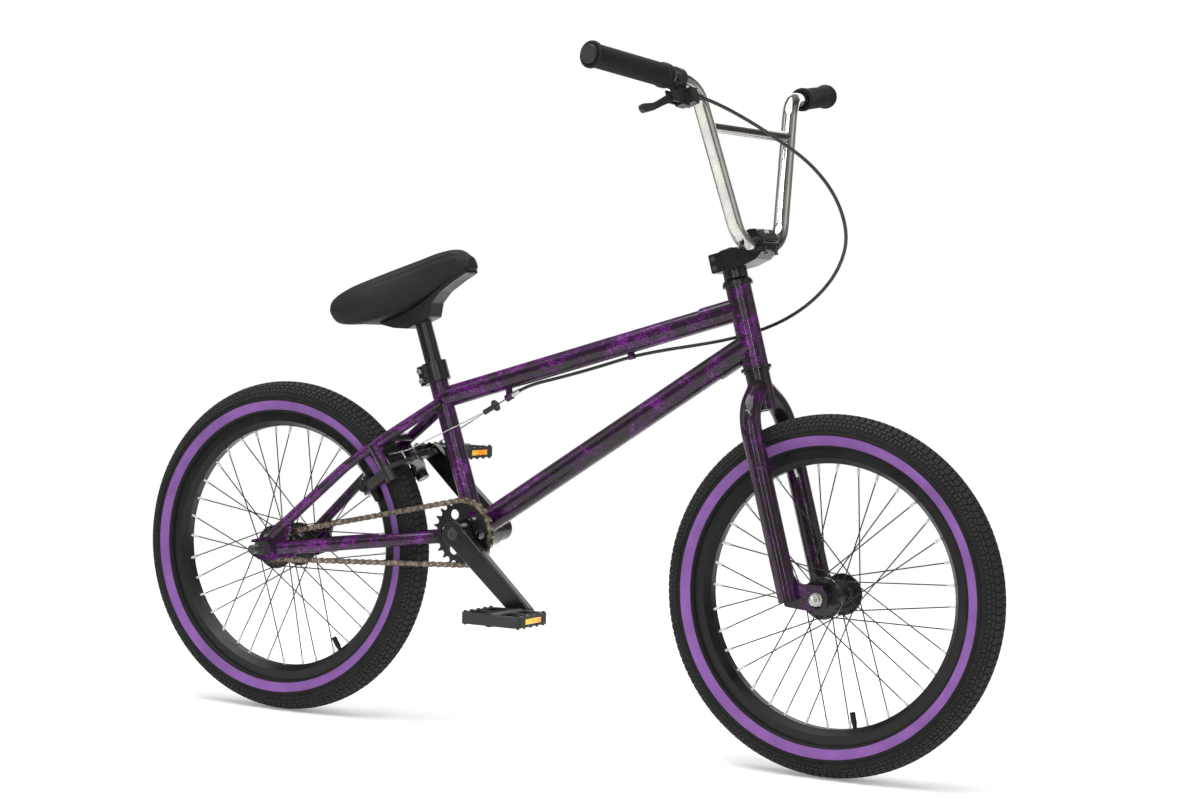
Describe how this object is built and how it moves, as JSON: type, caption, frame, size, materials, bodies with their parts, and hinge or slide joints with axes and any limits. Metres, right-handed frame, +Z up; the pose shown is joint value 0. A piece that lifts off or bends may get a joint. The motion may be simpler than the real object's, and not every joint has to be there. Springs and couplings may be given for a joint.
{
  "type": "bmx bike",
  "caption": "Small-wheeled freestyle bicycle with a straight-tube frame, high crossbar handlebar, steel fork, single-speed chain drive, rear rim brake, flat pedals and a nose-up saddle.",
  "frame": {"origin": "on the ground plane, in the middle of the overall length and width", "axes": "+X forwards to the front wheel, +Y to the rider's left, +Z up"},
  "size_m": [1.4514, 0.7632, 1.0047],
  "materials": {
    "frame_paint": "gloss",
    "fork_paint": "gloss",
    "chrome": "polished",
    "black_metal": "satin",
    "plated_steel": "bright",
    "chain_steel": "oiled",
    "silver_alloy": "satin",
    "cable_cover": "smooth",
    "grip_rubber": "matte",
    "black_plastic": "matte",
    "amber_plastic": "clear",
    "tyre_rubber": "matte with a violet band",
    "tube_rubber": "matte",
    "spoke_black": "satin",
    "saddle_cover": "matte"
  },
  "bodies": {
    "frame": {"head_tube": "frame_paint", "top_tube": "frame_paint", "down_tube": "frame_paint", "seat_tube": "frame_paint", "bottom_bracket_shell": "frame_paint", "chainstays": "frame_paint", "seatstays": "frame_paint", "headset_cups": "black_metal", "sealed_bearings": "plated_steel", "rear_axle": "plated_steel", "rear_axle_nuts": "plated_steel", "chain": "chain_steel", "brake_cable": "cable_cover", "barrel_adjuster": "silver_alloy", "straddle_wires": "plated_steel", "seat_clamp": "black_metal", "seat_clamp_bolts": "plated_steel"},
    "steering": {"steerer": "fork_paint", "fork_legs": "fork_paint", "headset_spacers": "black_metal", "stem": "black_metal", "stem_cap": "black_metal", "stem_bolts": "plated_steel", "steerer_cap": "black_metal", "handlebar": "chrome", "grips": "grip_rubber", "bar_plugs": "black_plastic", "lever_bracket": "black_metal", "front_axle": "plated_steel", "front_axle_nuts": "plated_steel"},
    "front_wheel": {"front_tyre": "tyre_rubber", "front_inner_tube": "tube_rubber", "front_rim": "black_metal", "front_spokes": "spoke_black", "front_hub": "black_metal"},
    "rear_wheel": {"rear_tyre": "tyre_rubber", "rear_inner_tube": "tube_rubber", "rear_rim": "black_metal", "rear_spokes": "spoke_black", "rear_hub": "black_metal"},
    "driver": {"rear_driver": "plated_steel"},
    "crankset": {"crank_spindle": "plated_steel", "crank_bolts": "plated_steel", "crank_right": "black_metal", "crank_left": "black_metal", "sprocket": "black_metal", "pedal_axles": "plated_steel"},
    "pedal_right": {"pedal_right": "black_plastic", "pedal_reflectors_right": "amber_plastic"},
    "pedal_left": {"pedal_left": "black_plastic", "pedal_reflectors_left": "amber_plastic"},
    "brake_lever": {"brake_lever": "black_metal"},
    "brake_arm_right": {"brake_arm_right": "black_metal", "brake_pad_right": "grip_rubber"},
    "brake_arm_left": {"brake_arm_left": "black_metal", "brake_pad_left": "grip_rubber"},
    "brake_yoke": {"brake_yoke": "black_metal"},
    "seat": {"seat_post": "black_metal", "saddle_shell": "black_plastic", "saddle_pad": "saddle_cover"}
  },
  "joints": [
    {"name": "steering", "type": "hinge", "parent": "frame", "child": "steering", "pos_m": [0.42939, 0, 0.2463], "axis": [-0.2773, 0, 0.9608], "range_deg": [-85, 85], "deforming": ["brake_cable"]},
    {"name": "front_wheel_spin", "type": "hinge", "parent": "steering", "child": "front_wheel", "pos_m": [0.4682, 0, 0.2575], "axis": [0, 1, 0], "continuous": true},
    {"name": "rear_wheel_spin", "type": "hinge", "parent": "frame", "child": "rear_wheel", "pos_m": [-0.4682, 0, 0.2575], "axis": [0, 1, 0], "continuous": true},
    {"name": "crank_spin", "type": "hinge", "parent": "frame", "child": "crankset", "pos_m": [-0.12045, 0, 0.306], "axis": [0, 1, 0], "continuous": true, "deforming": ["chain"]},
    {"name": "driver_spin", "type": "hinge", "parent": "frame", "child": "driver", "pos_m": [-0.4682, 0, 0.2575], "axis": [0, 1, 0], "continuous": true},
    {"name": "pedal_right_spin", "type": "hinge", "parent": "crankset", "child": "pedal_right", "pos_m": [0.00313, -0.071, 0.19667], "axis": [0, 1, 0], "continuous": true},
    {"name": "pedal_left_spin", "type": "hinge", "parent": "crankset", "child": "pedal_left", "pos_m": [-0.24403, 0.071, 0.41533], "axis": [0, 1, 0], "continuous": true},
    {"name": "seat_height", "type": "slide", "parent": "frame", "child": "seat", "axis": [-0.3305, 0, 0.9438], "range_m": [-0.04, 0.05]},
    {"name": "brake_lever_pull", "type": "hinge", "parent": "steering", "child": "brake_lever", "pos_m": [0.29886, -0.21937, 0.94189], "axis": [-0.9221, 0.1502, -0.3567], "range_deg": [0, 20], "stiffness_Nm_per_rad": 0.3, "springref_deg": -22.92, "deforming": ["straddle_wires"]},
    {"name": "brake_arm_right_pivot", "type": "hinge", "parent": "frame", "child": "brake_arm_right", "pos_m": [-0.26655, -0.043, 0.40187], "axis": [-0.5821, 0, 0.8131], "range_deg": [-2.05, 0]},
    {"name": "brake_arm_left_pivot", "type": "hinge", "parent": "frame", "child": "brake_arm_left", "pos_m": [-0.26655, 0.043, 0.40187], "axis": [-0.5821, 0, 0.8131], "range_deg": [0, 2.05]},
    {"name": "yoke_pull", "type": "slide", "parent": "frame", "child": "brake_yoke", "axis": [0.8572, 0, 0.515], "range_m": [0, 0.003]}
  ],
  "couplings": [
    {"joint": "driver_spin", "follows": "crank_spin", "ratio": 2.6667},
    {"joint": "brake_arm_right_pivot", "follows": "brake_lever_pull", "ratio": -0.1},
    {"joint": "brake_arm_left_pivot", "follows": "brake_lever_pull", "ratio": 0.1},
    {"joint": "yoke_pull", "follows": "brake_lever_pull", "m_per_rad": 0.0085}
  ]
}
